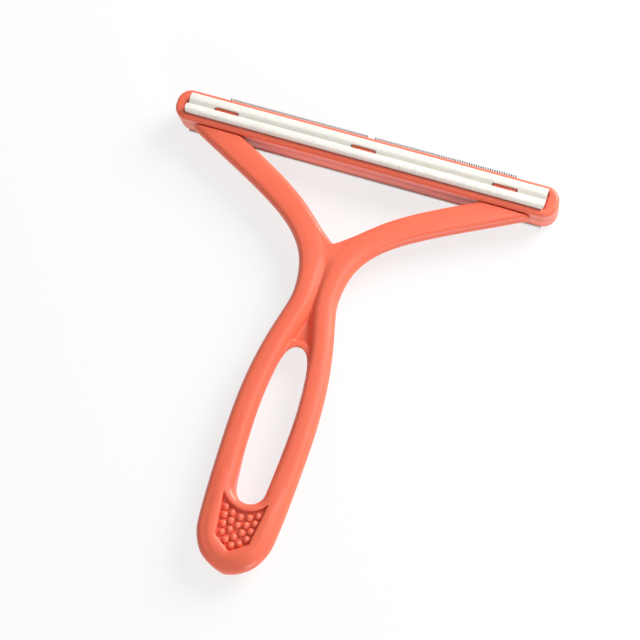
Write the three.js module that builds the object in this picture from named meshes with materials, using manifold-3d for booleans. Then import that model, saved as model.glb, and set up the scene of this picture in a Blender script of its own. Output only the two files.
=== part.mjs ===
// Pet hair scraper: a coral moulded grip whose head carries a soft strip, two edge blades and a steel comb.
// Millimetres, +Z up. It lies on its back with the strip face up and the handle towards -Y.
// While it is built, Y is counted from the head's centre line. The group is then centred on its length.
import * as THREE from 'three';
import { mergeVertices } from 'three/addons/utils/BufferGeometryUtils.js';
import Module from 'manifold-3d';

const wasm = await Module();
wasm.setup();

// Clearances
const fitGap = 0.3;
const seatGap = 0.1;
const overlap = 0.5;

// Head, a stack of comb, base and strip holder
const headLength = 147.3;
const headWidth = 12.2;
const headCornerRadius = 5.3;
const baseThickness = 5.9;
const holderThickness = 6.1;
const holderEdgeRadius = 1.2;

// Soft strip and the pocket that holds it
const stripLength = 138;
const stripWidth = 7.9;
const stripCornerRadius = 1.3;
const stripProud = 2;
const lipCrestInset = 0.95;
const grooveDepth = 1;
const grooveWidth = 1.1;
const pocketDepth = 1.8;
const stripEndGap = 0.6;
const slotCount = 3;
const slotPitch = 53.6;
const slotLength = 9.7;
const slotWidth = 1.5;
const tabEndGap = 0.5;
const tabHeight = 2.4;

// Edge blades
const bladeThickness = 0.4;
const bladeLength = 54.75;
const bladeMiddleGap = 2.4;
const bladeReach = 2.6;
const bladeInset = 5.2;
const bladeToothPitch = 0.75;
const bladeToothDepth = 1.4;

// Comb under the head
const combReach = 1.6;
const combLength = 138;
const combWidth = 11.8;
const combSheet = 0.4;
const combToothPitch = 1;
const combToothDepth = 1;

// Staked pegs that clamp the stack
const pegRadius = 1;
const pegRowOffset = 3;
const pegStations = [18, 45];
const stakeRadius = 1.9;
const stakeTipRadius = 1.2;
const stakeHeight = 0.6;

// Grip: two mirrored bars, counted along X from the middle and along Y from the head's centre line
const gripThickness = 8.4;
const barWidth = 9.2;
const barEdgeRun = 2.4;
const barEdgeDrop = 1.4;
const backWidth = 5.2;
const backEdgeRadius = 1.2;
const gripSink = 1;
const gripReach = 157.4;
const footX = 68;
const footInset = 5.5;
const armBendX = 27.5;
const armBendShare = 0.1423;
const waistX = 4.12;
const waistShare = 0.3589;
const armWaistPull = 28.7;
const handleWaistPull = 9;
const handleX = 11.37;
const handleShare = 0.6829;
const handleUpperPull = 30.9;
const handleLowerPull = 8;
const shoulderX = 9.77;
const shoulderShare = 0.928;
const shoulderPull = 7.8;
const shoulderLean = 1.1;
const shoulderTurn = 4.5;
const tipPull = 4.67;
const tipRise = 0.6;
const tipLap = 0.1;

// Webs between the bars: where each ends, and how far along the bar's curve its edge runs out
const crotchShare = 0.2287;
const crotchRunOut = 0.64;
const crotchSink = 0.9;
const holeTopShare = 0.481;
const holeTopRunOut = 0.7;
const holeTopSink = 1.7;
const webEdgeRadius = 0.7;

// Blunt end with its recessed field of bumps
const holeEndRunOut = 0.55;
const rimWidth = 2.9;
const endSink = 0.2;
const endEdgeRadius = 1.2;
const fieldDepth = 1.6;
const fieldTopX = 7.9;
const fieldSideX = 6.2;
const fieldSideShare = 0.9447;
const fieldPointShare = 0.9708;
const bumpRadius = 1.3;
const bumpSink = 0.15;
const bumpColumns = 5;
const bumpRows = 4;
const bumpColumnPitch = 3.1;
const bumpRowPitch = 3.5;
const bumpTaper = 0.077;
const bumpRimGap = 1.2;

// Worked out from the sizes above
const baseBackZ = combReach;
const seamZ = baseBackZ + baseThickness;
const frontZ = seamZ + holderThickness;
const pocketFloorZ = frontZ - pocketDepth;
const nearWallY = -headWidth / 2;
const farWallY = headWidth / 2;
const bladeTipY = farWallY + bladeReach;
const gripTopZ = frontZ - gripSink;
const gripBackZ = gripTopZ - gripThickness;
const gripMiddleZ = gripTopZ - gripThickness / 2;
const armBendY = -gripReach * armBendShare;
const crotchY = -gripReach * crotchShare;
const waistY = -gripReach * waistShare;
const holeTopY = -gripReach * holeTopShare;
const handleY = -gripReach * handleShare;
const shoulderY = -gripReach * shoulderShare;
const fieldSideY = -gripReach * fieldSideShare;
const fieldPointY = -gripReach * fieldPointShare;
const tipY = -gripReach;
const combSeatZ = baseBackZ - seatGap;
const sides = [-1, 1];
const slots = Array.from({ length: slotCount }, (_, slot) => (slot - (slotCount - 1) / 2) * slotPitch);

const coral = new THREE.MeshStandardMaterial({ color: 0xf0694a, roughness: 0.42, metalness: 0 });
const coralHolder = new THREE.MeshStandardMaterial({ color: 0xee6648, roughness: 0.42, metalness: 0 });
const softWhite = new THREE.MeshStandardMaterial({ color: 0xf6f2ea, roughness: 0.75, metalness: 0 });
const bladeSteel = new THREE.MeshStandardMaterial({ color: 0x8d8985, roughness: 0.35, metalness: 1 });
const combSteel = new THREE.MeshStandardMaterial({ color: 0xaca7a2, roughness: 0.32, metalness: 1 });

// A closed geometry becomes a solid that can be joined and cut
function solid(geometry) {
  const bare = geometry.index ? geometry.toNonIndexed() : geometry.clone();
  bare.deleteAttribute('normal');
  bare.deleteAttribute('uv');
  const merged = mergeVertices(bare, 1e-4);
  const vertProperties = new Float32Array(merged.attributes.position.array);
  const triVerts = new Uint32Array(merged.index.array);
  return new wasm.Manifold(new wasm.Mesh({ numProp: 3, vertProperties, triVerts }));
}

// A finished solid becomes a named mesh
function piece(name, body, material) {
  const { vertProperties, triVerts } = body.getMesh();
  const geometry = new THREE.BufferGeometry();
  geometry.setAttribute('position', new THREE.BufferAttribute(vertProperties, 3));
  geometry.setIndex(new THREE.BufferAttribute(triVerts, 1));
  geometry.computeVertexNormals();
  const mesh = new THREE.Mesh(geometry, material);
  mesh.name = name;
  return mesh;
}

function box(x0, x1, y0, y1, z0, z1) {
  const geometry = new THREE.BoxGeometry(x1 - x0, y1 - y0, z1 - z0);
  return solid(geometry.translate((x0 + x1) / 2, (y0 + y1) / 2, (z0 + z1) / 2));
}

function roundedRect(width, height, radius) {
  const w = width / 2 - radius;
  const h = height / 2 - radius;
  const shape = new THREE.Shape();
  shape.absarc(w, h, radius, 0, Math.PI / 2);
  shape.absarc(-w, h, radius, Math.PI / 2, Math.PI);
  shape.absarc(-w, -h, radius, Math.PI, 1.5 * Math.PI);
  shape.absarc(w, -h, radius, 1.5 * Math.PI, 2 * Math.PI);
  return shape;
}

// A plan outline raised from z0 to z1
function prism(shape, z0, z1, curveSegments = 6) {
  const geometry = new THREE.ExtrudeGeometry(shape, { depth: z1 - z0, bevelEnabled: false, curveSegments });
  return solid(geometry.translate(0, 0, z0));
}

// The same with both rims rounded inside the outline
function softPrism(shape, z0, z1, radius, curveSegments = 6) {
  const geometry = new THREE.ExtrudeGeometry(shape, {
    depth: z1 - z0 - 2 * radius,
    bevelThickness: radius,
    bevelSize: radius,
    bevelOffset: -radius,
    bevelSegments: 3,
    curveSegments,
  });
  return solid(geometry.translate(0, 0, z0 + radius));
}

// A section drawn in Y and Z, run along X about the middle
function barAlongX(shape, length, curveSegments = 6) {
  const geometry = new THREE.ExtrudeGeometry(shape, { depth: length, bevelEnabled: false, curveSegments });
  geometry.translate(0, 0, -length / 2);
  const turn = new THREE.Matrix4();
  turn.makeBasis(new THREE.Vector3(0, 1, 0), new THREE.Vector3(0, 0, 1), new THREE.Vector3(1, 0, 0));
  return solid(geometry.applyMatrix4(turn));
}

function post(x, y, z0, z1, lowRadius, highRadius = lowRadius) {
  const geometry = new THREE.CylinderGeometry(highRadius, lowRadius, z1 - z0, 16);
  geometry.rotateX(Math.PI / 2);
  return solid(geometry.translate(x, y, (z0 + z1) / 2));
}

function pegPlaces() {
  const places = [];
  for (const station of pegStations) {
    for (const side of sides) {
      places.push([side * station, pegRowOffset]);
      places.push([side * station, -pegRowOffset]);
    }
  }
  return places;
}

// Each bar: arm from the head to the waist, handle past the hole, then round to the tip
function barRuns(side) {
  const at = (x, y) => new THREE.Vector3(side * x, y, gripMiddleZ);
  const foot = at(footX, nearWallY + footInset);
  const waist = at(waistX, waistY);
  const middle = at(handleX, handleY);
  const shoulder = at(shoulderX, shoulderY);
  const lean = shoulderLean / shoulderPull;
  const armEnd = at(waistX, waistY + armWaistPull);
  const upperStart = at(waistX, waistY - handleWaistPull);
  const upperEnd = at(handleX, handleY + handleUpperPull);
  const lowerStart = at(handleX, handleY - handleLowerPull);
  const lowerEnd = at(shoulderX + shoulderLean, shoulderY + shoulderPull);
  const turnStart = at(shoulderX - lean * shoulderTurn, shoulderY - shoulderTurn);
  return {
    arm: new THREE.CubicBezierCurve3(foot, at(armBendX, armBendY), armEnd, waist),
    upper: new THREE.CubicBezierCurve3(waist, upperStart, upperEnd, middle),
    lower: new THREE.CubicBezierCurve3(middle, lowerStart, lowerEnd, shoulder),
    turn: new THREE.CubicBezierCurve3(shoulder, turnStart, at(tipPull, tipY + tipRise), at(0, tipY)),
    overrun: new THREE.LineCurve3(at(0, tipY), at(-tipPull, tipY - tipRise)),
  };
}

// The bar's section, drawn downwards along its first axis: a soft-edged top over a narrower back
function barSection() {
  const top = -gripThickness / 2;
  const back = gripThickness / 2;
  const half = barWidth / 2;
  const backHalf = backWidth / 2;
  const shape = new THREE.Shape();
  shape.moveTo(top, barEdgeRun - half);
  shape.lineTo(top, half - barEdgeRun);
  shape.quadraticCurveTo(top, half, top + barEdgeDrop, half);
  shape.lineTo(back - backEdgeRadius, backHalf);
  shape.quadraticCurveTo(back, backHalf, back, backHalf - backEdgeRadius);
  shape.lineTo(back, backEdgeRadius - backHalf);
  shape.quadraticCurveTo(back, -backHalf, back - backEdgeRadius, -backHalf);
  shape.lineTo(top + barEdgeDrop, -half);
  shape.quadraticCurveTo(top, -half, top, barEdgeRun - half);
  return shape;
}

// The bar runs past the middle at its tip and is cut off there, so that the two meet in a blunt point
function bar(side) {
  const { arm, upper, lower, turn, overrun } = barRuns(side);
  const path = new THREE.CurvePath();
  path.curves.push(arm, upper, lower, turn, overrun);
  const options = { steps: 72, bevelEnabled: false, curveSegments: 3, extrudePath: path };
  const whole = solid(new THREE.ExtrudeGeometry(barSection(), options));
  const [x0, x1] = side < 0 ? [tipLap, headLength] : [-headLength, -tipLap];
  return whole.subtract(box(x0, x1, 2 * tipY, shoulderY, gripBackZ - overlap, gripTopZ + overlap));
}

// A point beside a run of the right-hand bar, inset from its centre line, and which way the bar heads there
function besideRun(run, share, inset) {
  const centre = run.getPoint(share);
  const heading = run.getTangent(share);
  const x = centre.x + heading.y * inset;
  const y = centre.y - heading.x * inset;
  return { x, y, heading, centre };
}

function innerEdge(run, share) {
  return besideRun(run, share, barWidth / 2);
}

// A web's rounded edge: down one bar's inner edge, across the middle at y and up the other
function webEdge(shape, edge, y) {
  const bendX = edge.x + edge.heading.x * (y - edge.y) / edge.heading.y;
  shape.lineTo(edge.centre.x, edge.centre.y);
  shape.lineTo(edge.x, edge.y);
  shape.quadraticCurveTo(bendX, y, 0, y);
  shape.quadraticCurveTo(-bendX, y, -edge.x, edge.y);
  shape.lineTo(-edge.centre.x, edge.centre.y);
}

// Thin web between the bars, from the waist down to the round top of the hole
function holeWeb() {
  const shape = new THREE.Shape();
  shape.moveTo(-waistX, waistY);
  shape.lineTo(waistX, waistY);
  webEdge(shape, innerEdge(barRuns(1).upper, holeTopRunOut), holeTopY);
  return softPrism(shape, gripBackZ + holeTopSink, gripTopZ - holeTopSink, webEdgeRadius);
}

// Thicker web that rounds off the crotch between the arms
function crotchWeb() {
  const shape = new THREE.Shape();
  shape.moveTo(-waistX, waistY);
  shape.lineTo(waistX, waistY);
  webEdge(shape, innerEdge(barRuns(1).arm, crotchRunOut), crotchY);
  return softPrism(shape, gripBackZ + crotchSink, gripTopZ - crotchSink, webEdgeRadius);
}

// The round end of the hole runs out along the bars' inner edges
function holeEnd() {
  const edge = innerEdge(barRuns(1).lower, holeEndRunOut);
  return { radius: edge.x, y: edge.y };
}

// Block that closes the hole, fills the blunt end and stands on its flat back
function endPlate() {
  const { radius, y } = holeEnd();
  const { lower, turn } = barRuns(1);
  const corners = [
    besideRun(lower, holeEndRunOut, -endEdgeRadius),
    besideRun(lower, 1, -endEdgeRadius),
    besideRun(turn, 0.5, -endEdgeRadius),
  ];
  const shape = new THREE.Shape(corners.map((corner) => new THREE.Vector2(corner.x, corner.y)));
  shape.lineTo(0, tipY - endEdgeRadius);
  for (const corner of corners.reverse()) {
    shape.lineTo(-corner.x, corner.y);
  }
  shape.lineTo(-radius, y);
  shape.absarc(0, y, radius, Math.PI, 2 * Math.PI);
  return softPrism(shape, 0, gripTopZ - endSink, endEdgeRadius, 8);
}

// Shield-shaped recess under the rim of the hole
function bumpField() {
  const { radius, y } = holeEnd();
  const reach = radius + rimWidth;
  const angle = Math.acos(fieldTopX / reach);
  const shape = new THREE.Shape();
  shape.moveTo(fieldSideX, fieldSideY);
  shape.lineTo(fieldTopX, y - reach * Math.sin(angle));
  shape.absarc(0, y, reach, -angle, angle - Math.PI, true);
  shape.lineTo(-fieldSideX, fieldSideY);
  shape.lineTo(0, fieldPointY);
  return prism(shape, gripTopZ - fieldDepth, gripTopZ + overlap);
}

// Columns of bumps hang below the rim and draw together towards the point
function bumps() {
  const { radius, y } = holeEnd();
  const reach = radius + rimWidth + bumpRimGap + bumpRadius;
  const z = gripTopZ - fieldDepth - bumpSink;
  const domes = [];
  for (let column = 0; column < bumpColumns; column += 1) {
    const place = column - (bumpColumns - 1) / 2;
    const top = y - Math.sqrt(reach ** 2 - (place * bumpColumnPitch) ** 2);
    for (let row = 0; row < bumpRows; row += 1) {
      const x = place * bumpColumnPitch * (1 - bumpTaper * row);
      const drop = row * bumpRowPitch * (1 - bumpTaper * Math.abs(place));
      domes.push(solid(new THREE.SphereGeometry(bumpRadius, 8, 6).translate(x, top - drop, z)));
    }
  }
  return domes;
}

function headOutline(grow = 0) {
  return roundedRect(headLength + 2 * grow, headWidth + 2 * grow, headCornerRadius + grow);
}

function bladeSpan(side) {
  const near = bladeMiddleGap / 2;
  const far = near + bladeLength;
  return side < 0 ? [-far, -near] : [near, far];
}

function gripBody() {
  let body = bar(-1).add(bar(1)).add(holeWeb()).add(crotchWeb()).add(endPlate());
  body = body.subtract(bumpField());
  for (const dome of bumps()) {
    body = body.add(dome);
  }
  body = body.subtract(prism(headOutline(fitGap), seamZ, frontZ, 3));
  body = body.add(prism(headOutline(), baseBackZ, seamZ, 3));
  for (const side of sides) {
    const [x0, x1] = bladeSpan(side);
    const recessZ = seamZ - bladeThickness - 2 * seatGap;
    const inner = farWallY - bladeInset - fitGap;
    body = body.subtract(box(x0 - fitGap, x1 + fitGap, inner, farWallY + overlap, recessZ, seamZ + overlap));
  }
  for (const [x, y] of pegPlaces()) {
    body = body.subtract(post(x, y, baseBackZ - overlap, seamZ + overlap, pegRadius + fitGap));
  }
  return body;
}

function stripHolder() {
  let body = softPrism(headOutline(), seamZ - 2 * holderEdgeRadius, frontZ, holderEdgeRadius, 3);
  body = body.subtract(box(-headLength, headLength, -headWidth, headWidth, 0, seamZ));
  const pocketLength = stripLength + 2 * stripEndGap;
  const pocket = roundedRect(pocketLength, stripWidth + 2 * fitGap, stripCornerRadius + fitGap);
  body = body.subtract(prism(pocket, pocketFloorZ, frontZ + overlap, 3));
  for (const x of slots) {
    const width = slotWidth - 2 * fitGap;
    const tab = roundedRect(slotLength - 2 * tabEndGap, width, width / 2);
    body = body.add(prism(tab, pocketFloorZ - overlap, pocketFloorZ + tabHeight, 3).translate([x, 0, 0]));
  }
  const stakeZ = combSeatZ - combSheet - seatGap;
  for (const [x, y] of pegPlaces()) {
    body = body.add(post(x, y, stakeZ - overlap / 2, seamZ + overlap, pegRadius));
    body = body.add(post(x, y, stakeZ - stakeHeight, stakeZ, stakeTipRadius, stakeRadius));
  }
  return body;
}

function scraperStrip() {
  const half = stripWidth / 2;
  const floor = pocketFloorZ + seatGap;
  const crest = frontZ + stripProud;
  const crestY = half - lipCrestInset;
  const groove = crest - grooveDepth;
  const section = new THREE.Shape();
  section.moveTo(-half, floor);
  section.lineTo(half, floor);
  section.lineTo(half, crest - lipCrestInset);
  section.quadraticCurveTo(half, crest, crestY, crest);
  section.quadraticCurveTo(crestY / 2, crest, grooveWidth / 2, groove);
  section.lineTo(-grooveWidth / 2, groove);
  section.quadraticCurveTo(-crestY / 2, crest, -crestY, crest);
  section.quadraticCurveTo(-half, crest, -half, crest - lipCrestInset);
  const plan = roundedRect(stripLength, stripWidth, stripCornerRadius);
  let body = barAlongX(section, stripLength).intersect(prism(plan, floor - overlap, crest + overlap));
  for (const x of slots) {
    const opening = roundedRect(slotLength, slotWidth, slotWidth / 2);
    body = body.subtract(prism(opening, floor - overlap, crest + overlap, 4).translate([x, 0, 0]));
  }
  return body;
}

// A saw edge from (x0, root) to (x1, root), its points standing depth away from root
function sawEdge(shape, x0, x1, root, depth, pitch) {
  const count = Math.round(Math.abs(x1 - x0) / pitch);
  const step = (x1 - x0) / count;
  for (let tooth = 0; tooth < count; tooth += 1) {
    shape.lineTo(x0 + (tooth + 0.5) * step, root + depth);
    shape.lineTo(x0 + (tooth + 1) * step, root);
  }
}

function edgeBlade(side) {
  const [x0, x1] = bladeSpan(side);
  const root = bladeTipY - bladeToothDepth;
  const shape = new THREE.Shape();
  shape.moveTo(x0, farWallY - bladeInset);
  shape.lineTo(x1, farWallY - bladeInset);
  shape.lineTo(x1, root);
  sawEdge(shape, x1, x0, root, bladeToothDepth, bladeToothPitch);
  const z = seamZ - seatGap - bladeThickness;
  let body = prism(shape, z, z + bladeThickness);
  for (const [x, y] of pegPlaces()) {
    body = body.subtract(post(x, y, z - overlap, z + bladeThickness + overlap, pegRadius + fitGap));
  }
  return body;
}

// Steel channel: a plate on the base's back and two toothed flanges
function backComb() {
  const half = combLength / 2;
  const outer = combWidth / 2;
  let body = box(-half, half, -outer, outer, combSeatZ - combSheet, combSeatZ);
  for (const side of sides) {
    const shape = new THREE.Shape();
    shape.moveTo(half, combSeatZ);
    shape.lineTo(-half, combSeatZ);
    shape.lineTo(-half, combToothDepth);
    sawEdge(shape, -half, half, combToothDepth, -combToothDepth, combToothPitch);
    const flange = new THREE.ExtrudeGeometry(shape, { depth: combSheet, bevelEnabled: false });
    flange.rotateX(Math.PI / 2).translate(0, side < 0 ? combSheet - outer : outer, 0);
    body = body.add(solid(flange));
  }
  for (const [x, y] of pegPlaces()) {
    body = body.subtract(post(x, y, combSeatZ - combSheet - overlap, baseBackZ, pegRadius + fitGap));
  }
  return body;
}

const scraper = new THREE.Group();
scraper.add(piece('grip_body', gripBody(), coral));
scraper.add(piece('strip_holder', stripHolder(), coralHolder));
scraper.add(piece('scraper_strip', scraperStrip(), softWhite));
scraper.add(piece('left_edge_blade', edgeBlade(-1), bladeSteel));
scraper.add(piece('right_edge_blade', edgeBlade(1), bladeSteel.clone()));
scraper.add(piece('back_comb', backComb(), combSteel));

// The origin lies under the middle of the whole length
const gripBox = new THREE.Box3().setFromObject(scraper.children[0]);
scraper.position.y = -(gripBox.min.y + bladeTipY) / 2;

export default scraper;
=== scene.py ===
import math

import bmesh
import bpy
import numpy as np
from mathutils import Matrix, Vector


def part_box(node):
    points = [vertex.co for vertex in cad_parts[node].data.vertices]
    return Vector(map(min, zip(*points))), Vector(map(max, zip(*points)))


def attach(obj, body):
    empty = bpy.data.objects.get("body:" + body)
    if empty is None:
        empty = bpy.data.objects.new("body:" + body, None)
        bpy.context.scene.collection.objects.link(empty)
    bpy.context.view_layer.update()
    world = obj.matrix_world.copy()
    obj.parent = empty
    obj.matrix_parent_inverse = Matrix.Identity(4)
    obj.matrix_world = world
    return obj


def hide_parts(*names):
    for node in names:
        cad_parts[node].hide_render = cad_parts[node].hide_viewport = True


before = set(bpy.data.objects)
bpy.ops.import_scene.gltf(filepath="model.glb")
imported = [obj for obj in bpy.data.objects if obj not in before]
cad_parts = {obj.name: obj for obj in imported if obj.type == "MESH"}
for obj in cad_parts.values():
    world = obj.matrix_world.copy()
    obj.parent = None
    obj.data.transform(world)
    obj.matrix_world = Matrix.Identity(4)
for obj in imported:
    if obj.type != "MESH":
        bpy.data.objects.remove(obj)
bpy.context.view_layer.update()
scene = bpy.context.scene
print("frame loaded:", ", ".join(sorted(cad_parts)))

mm = 0.001
holderLow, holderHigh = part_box("strip_holder")
headY = (holderLow.y + holderHigh.y) / 2 / mm  # shapes are drawn in mm from the head's centre line


# Shared shader groups

def newGroup(name, inputs, outputs):
    group = bpy.data.node_groups.new(name, "ShaderNodeTree")
    for label, kind, value in inputs:
        socket = group.interface.new_socket(label, in_out="INPUT", socket_type=kind)
        if value is not None:
            socket.default_value = value
    for label, kind in outputs:
        group.interface.new_socket(label, in_out="OUTPUT", socket_type=kind)
    return group, group.nodes.new("NodeGroupInput"), group.nodes.new("NodeGroupOutput")


def addNode(tree, kind, values=None, **settings):
    node = tree.nodes.new(kind)
    for key, value in settings.items():
        setattr(node, key, value)
    for key, value in (values or {}).items():
        if isinstance(value, bpy.types.NodeSocket):
            tree.links.new(value, node.inputs[key])
        else:
            node.inputs[key].default_value = value
    return node


# fine moulded grain: a height for the bump, a slow drift of tone and a patchy gloss
def makeGrainGroup():
    group, given, result = newGroup(
        "mouldGrain",
        [("Vector", "NodeSocketVector", None), ("Grain per metre", "NodeSocketFloat", 2600.0),
         ("Drift per metre", "NodeSocketFloat", 38.0)],
        [("Height", "NodeSocketFloat"), ("Tone", "NodeSocketFloat"), ("Gloss", "NodeSocketFloat")])
    fine = addNode(group, "ShaderNodeTexNoise", {
        "Vector": given.outputs["Vector"], "Scale": given.outputs["Grain per metre"], "Detail": 2.0})
    slow = addNode(group, "ShaderNodeTexNoise", {
        "Vector": given.outputs["Vector"], "Scale": given.outputs["Drift per metre"], "Detail": 3.0})
    patchScale = addNode(group, "ShaderNodeMath", {
        0: given.outputs["Drift per metre"], 1: 5.0}, operation="MULTIPLY")
    patch = addNode(group, "ShaderNodeTexNoise", {
        "Vector": given.outputs["Vector"], "Scale": patchScale.outputs[0], "Detail": 4.0, "Roughness": 0.65})
    group.links.new(fine.outputs["Fac"], result.inputs["Height"])
    group.links.new(slow.outputs["Fac"], result.inputs["Tone"])
    group.links.new(patch.outputs["Fac"], result.inputs["Gloss"])
    return group


# rubbed corners with a painted edge highlight: lighter where the surface turns sharply outwards, broken up by noise
def makeWearAndHighlightGroup():
    group, given, result = newGroup(
        "rubbedAndHighlitEdges",
        [("Vector", "NodeSocketVector", None), ("Start", "NodeSocketFloat", 0.53),
         ("Full", "NodeSocketFloat", 0.62), ("Breaks per metre", "NodeSocketFloat", 420.0)],
        [("Mask", "NodeSocketFloat")])
    shape = addNode(group, "ShaderNodeNewGeometry")
    ridge = addNode(group, "ShaderNodeMapRange", {
        "Value": shape.outputs["Pointiness"], "From Min": given.outputs["Start"],
        "From Max": given.outputs["Full"]})
    breaks = addNode(group, "ShaderNodeTexNoise", {
        "Vector": given.outputs["Vector"], "Scale": given.outputs["Breaks per metre"], "Detail": 3.0})
    broken = addNode(group, "ShaderNodeMapRange", {
        "Value": breaks.outputs["Fac"], "From Min": 0.35, "From Max": 0.65})
    mask = addNode(group, "ShaderNodeMath", {0: ridge.outputs["Result"], 1: broken.outputs["Result"]},
                   operation="MULTIPLY")
    group.links.new(mask.outputs[0], result.inputs["Mask"])
    return group


grainGroup = makeGrainGroup()
wearAndHighlightGroup = makeWearAndHighlightGroup()


def addGroup(tree, group, vector, values):
    node = addNode(tree, "ShaderNodeGroup", node_tree=group)
    tree.links.new(vector, node.inputs["Vector"])
    for key, value in values.items():
        node.inputs[key].default_value = value
    return node


def mixColour(tree, factor, first, second):
    node = addNode(tree, "ShaderNodeMix", data_type="RGBA")
    for index, value in ((0, factor), (6, first), (7, second)):
        if isinstance(value, bpy.types.NodeSocket):
            tree.links.new(value, node.inputs[index])
        else:
            node.inputs[index].default_value = value
    return node.outputs[2]


def spread(tree, value, low, high, fromLow=0.25, fromHigh=0.75):
    node = addNode(tree, "ShaderNodeMapRange", {
        "Value": value, "From Min": fromLow, "From Max": fromHigh, "To Min": low, "To Max": high})
    return node.outputs["Result"]


# Materials

def newMaterial(name):
    material = bpy.data.materials.new(name)
    material.use_nodes = True
    tree = material.node_tree
    shader = tree.nodes["Principled BSDF"]
    place = addNode(tree, "ShaderNodeTexCoord").outputs["Object"]
    return material, tree, shader, place


# grain, and rubbed edges with a painted edge highlight, at the look's own values
def addFinish(tree, place, look):
    grain = addGroup(tree, grainGroup, place, {
        "Grain per metre": look["grainPerMetre"], "Drift per metre": look["driftPerMetre"]})
    wearAndHighlight = addGroup(tree, wearAndHighlightGroup, place, {
        "Start": look["wearAndHighlightStart"], "Full": look["wearAndHighlightFull"], "Breaks per metre": look["wearAndHighlightBreaks"]})
    return grain, wearAndHighlight


def addBump(tree, shader, height, look):
    bump = addNode(tree, "ShaderNodeBump", {
        "Height": height, "Strength": look["grainStrength"], "Distance": look["grainDepth"]})
    tree.links.new(bump.outputs["Normal"], shader.inputs["Normal"])


# the rubbed colours are lighter tones for sharp outward edges: partly wear, partly a painted edge highlight
coralLook = {
    "dark": (0.89, 0.148, 0.076, 1), "light": (0.93, 0.170, 0.090, 1), "rubbedAndHighlit": (0.94, 0.29, 0.20, 1),
    "toneLow": 0.0, "roughLow": 0.36, "roughHigh": 0.48, "specular": 0.45, "coat": 0.3, "coatRough": 0.18,
    "grainPerMetre": 2400.0, "driftPerMetre": 32.0, "grainStrength": 0.12, "grainDepth": 0.00006,
    "wearAndHighlightStart": 0.54, "wearAndHighlightFull": 0.66, "wearAndHighlightBreaks": 500.0, "wearAndHighlightShare": 0.25,
}
holderLook = {**coralLook, "dark": (0.88, 0.142, 0.072, 1)}
stripLook = {
    "dark": (0.83, 0.80, 0.72, 1), "light": (0.90, 0.877, 0.82, 1), "rubbedAndHighlit": (0.93, 0.92, 0.89, 1),
    "toneLow": 0.35, "roughLow": 0.62, "roughHigh": 0.78, "specular": 0.3, "coat": 0.0, "coatRough": 0.03,
    "grainPerMetre": 3400.0, "driftPerMetre": 90.0, "grainStrength": 0.25, "grainDepth": 0.00008,
    "wearAndHighlightStart": 0.51, "wearAndHighlightFull": 0.58, "wearAndHighlightBreaks": 700.0, "wearAndHighlightShare": 0.6,
}


def makeMoulded(name, look):
    material, tree, shader, place = newMaterial(name)
    grain, wearAndHighlight = addFinish(tree, place, look)
    tone = spread(tree, grain.outputs["Tone"], look["toneLow"], 1.0)
    body = mixColour(tree, tone, look["dark"], look["light"])
    # sharp outward edges turn lighter: partly rubbing, partly a painted edge highlight
    rubbedAndHighlit = addNode(tree, "ShaderNodeMath", {
        0: wearAndHighlight.outputs["Mask"], 1: look["wearAndHighlightShare"]}, operation="MULTIPLY")
    tree.links.new(mixColour(tree, rubbedAndHighlit.outputs[0], body, look["rubbedAndHighlit"]), shader.inputs["Base Color"])
    tree.links.new(spread(tree, grain.outputs["Gloss"], look["roughLow"], look["roughHigh"]),
                   shader.inputs["Roughness"])
    addBump(tree, shader, grain.outputs["Height"], look)
    shader.inputs["Specular IOR Level"].default_value = look["specular"]
    shader.inputs["Coat Weight"].default_value = look["coat"]
    shader.inputs["Coat Roughness"].default_value = look["coatRough"]
    return material


bladeLook = {
    "dark": (0.025, 0.022, 0.02, 1), "bright": (0.06, 0.055, 0.05, 1), "wornAndHighlit": (0.05, 0.045, 0.042, 1),
    "roughLow": 0.35, "roughHigh": 0.5, "lines": (900.0, 26000.0, 9000.0),
    "grainPerMetre": 4000.0, "driftPerMetre": 120.0, "grainStrength": 0.15, "grainDepth": 0.00004,
    "wearAndHighlightStart": 0.53, "wearAndHighlightFull": 0.6, "wearAndHighlightBreaks": 900.0,
}
combLook = {
    **bladeLook,
    "dark": (0.58, 0.565, 0.55, 1), "bright": (0.74, 0.72, 0.70, 1), "wornAndHighlit": (0.84, 0.82, 0.80, 1),
    "roughLow": 0.26, "roughHigh": 0.42, "lines": (700.0, 21000.0, 21000.0),
}


# drawn sheet, with fine lines along x
def makeSteel(name, look):
    material, tree, shader, place = newMaterial(name)
    stretch = addNode(tree, "ShaderNodeMapping", {"Vector": place, "Scale": look["lines"]})
    lines = addNode(tree, "ShaderNodeTexNoise", {
        "Vector": stretch.outputs["Vector"], "Scale": 1.0, "Detail": 3.0})
    grain, wearAndHighlight = addFinish(tree, place, look)
    drawn = spread(tree, lines.outputs["Fac"], 0.0, 1.0, 0.3, 0.7)
    body = mixColour(tree, drawn, look["dark"], look["bright"])
    # sharp edges take the worn colour: partly wear, partly a painted edge highlight
    tree.links.new(mixColour(tree, wearAndHighlight.outputs["Mask"], body, look["wornAndHighlit"]), shader.inputs["Base Color"])
    tree.links.new(spread(tree, grain.outputs["Gloss"], look["roughLow"], look["roughHigh"]),
                   shader.inputs["Roughness"])
    addBump(tree, shader, lines.outputs["Fac"], look)
    shader.inputs["Metallic"].default_value = 1.0
    return material


gripCoral = makeMoulded("gripCoral", coralLook)
holderCoral = makeMoulded("holderCoral", holderLook)
softWhite = makeMoulded("softWhite", stripLook)
bladeSteel = makeSteel("bladeSteel", bladeLook)
combSteel = makeSteel("combSteel", combLook)
print("materials made")


# Mesh helpers

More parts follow.
